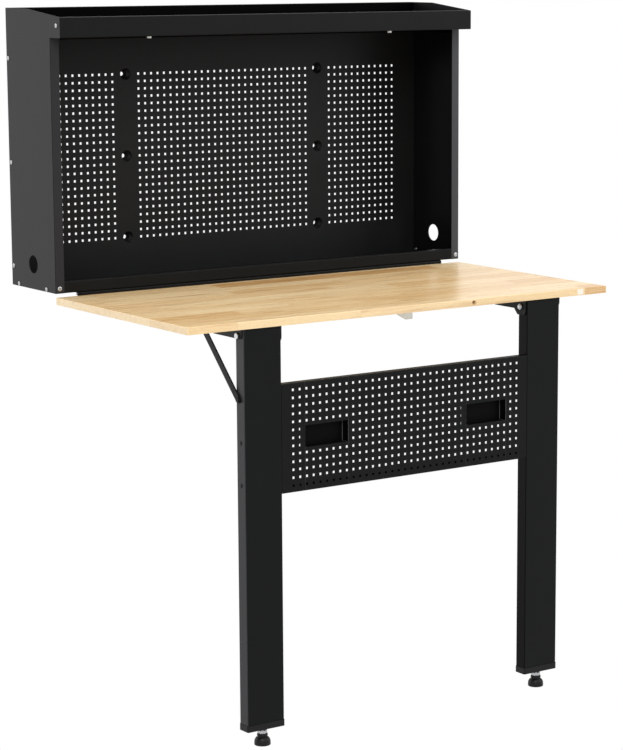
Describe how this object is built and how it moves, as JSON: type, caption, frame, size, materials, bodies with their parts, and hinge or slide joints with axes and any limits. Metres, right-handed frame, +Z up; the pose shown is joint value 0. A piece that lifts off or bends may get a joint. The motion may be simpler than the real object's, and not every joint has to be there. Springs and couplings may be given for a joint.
{
  "type": "wall mounted folding workbench",
  "caption": "Wall cabinet with a perforated back, a wooden board that hinges down from it, and a folding perforated leg frame with locking stays and levelling feet",
  "frame": {"origin": "centre of the wall screw pattern, on the wall plane", "axes": "+X to the right of someone facing the cabinet, +Y into the wall, +Z up"},
  "size_m": [1.04, 0.7135, 1.4455],
  "materials": {
    "cabinet_paint": "satin black powder coat",
    "leg_paint": "satin black powder coat",
    "panel_paint": "satin black powder coat",
    "hinge_steel": "black coated steel",
    "pin_steel": "drawn steel",
    "board_wood": "clear oiled finger jointed hardwood",
    "zinc_steel": "bright zinc plate",
    "magnet": "nickel plated magnet",
    "bracket_paint": "satin black powder coat",
    "cap_plastic": "moulded black plastic",
    "foot_plastic": "moulded black plastic"
  },
  "bodies": {
    "cabinet": {"side_left": "cabinet_paint", "side_right": "cabinet_paint", "back_panel": "cabinet_paint", "bottom_panel": "cabinet_paint", "tray_floor": "cabinet_paint", "fascia": "cabinet_paint", "catch_magnets": "magnet", "hinge_cabinet_leaf": "hinge_steel", "hinge_pin": "pin_steel"},
    "worktop": {"worktop_board": "board_wood", "hinge_worktop_leaf": "hinge_steel", "strike_plate": "zinc_steel", "latch_tab": "zinc_steel", "leg_bracket_left": "bracket_paint", "leg_bracket_right": "bracket_paint", "stay_rail_left": "bracket_paint", "stay_rail_right": "bracket_paint", "pivot_bolts": "zinc_steel", "pivot_nuts": "zinc_steel"},
    "leg_frame": {"leg_left": "leg_paint", "leg_right": "leg_paint", "leg_cap_left": "cap_plastic", "leg_cap_right": "cap_plastic", "lower_panel": "panel_paint", "grip_pan_left": "panel_paint", "grip_pan_right": "panel_paint", "stay_rivets": "bracket_paint"},
    "stay_arm_left": {"stay_left": "bracket_paint", "stay_pin_left": "zinc_steel"},
    "stay_arm_right": {"stay_right": "bracket_paint", "stay_pin_right": "zinc_steel"},
    "foot_left": {"foot_pad_left": "foot_plastic", "foot_stud_left": "zinc_steel", "foot_nut_left": "zinc_steel"},
    "foot_right": {"foot_pad_right": "foot_plastic", "foot_stud_right": "zinc_steel", "foot_nut_right": "zinc_steel"}
  },
  "joints": [
    {"name": "worktop_fold", "type": "hinge", "parent": "cabinet", "child": "worktop", "pos_m": [0, -0.19, -0.2635], "axis": [-1, 0, 0], "range_deg": [0, 90]},
    {"name": "leg_fold", "type": "hinge", "parent": "worktop", "child": "leg_frame", "pos_m": [0, -0.6935, -0.297], "axis": [1, 0, 0], "range_deg": [0, 90]},
    {"name": "stay_left_turn", "type": "hinge", "parent": "leg_frame", "child": "stay_arm_left", "pos_m": [-0.3958, -0.6935, -0.422], "axis": [-1, 0, 0], "range_deg": [0, 135]},
    {"name": "stay_right_turn", "type": "hinge", "parent": "leg_frame", "child": "stay_arm_right", "pos_m": [0.3958, -0.6935, -0.422], "axis": [-1, 0, 0], "range_deg": [0, 135]},
    {"name": "foot_left_level", "type": "slide", "parent": "leg_frame", "child": "foot_left", "axis": [0, 0, 1], "range_m": [-0.015, 0.0035]},
    {"name": "foot_right_level", "type": "slide", "parent": "leg_frame", "child": "foot_right", "axis": [0, 0, 1], "range_m": [-0.015, 0.0035]}
  ],
  "couplings": [
    {"joint": "stay_left_turn", "follows": "leg_fold", "ratio": 1.5},
    {"joint": "stay_right_turn", "follows": "leg_fold", "ratio": 1.5}
  ]
}
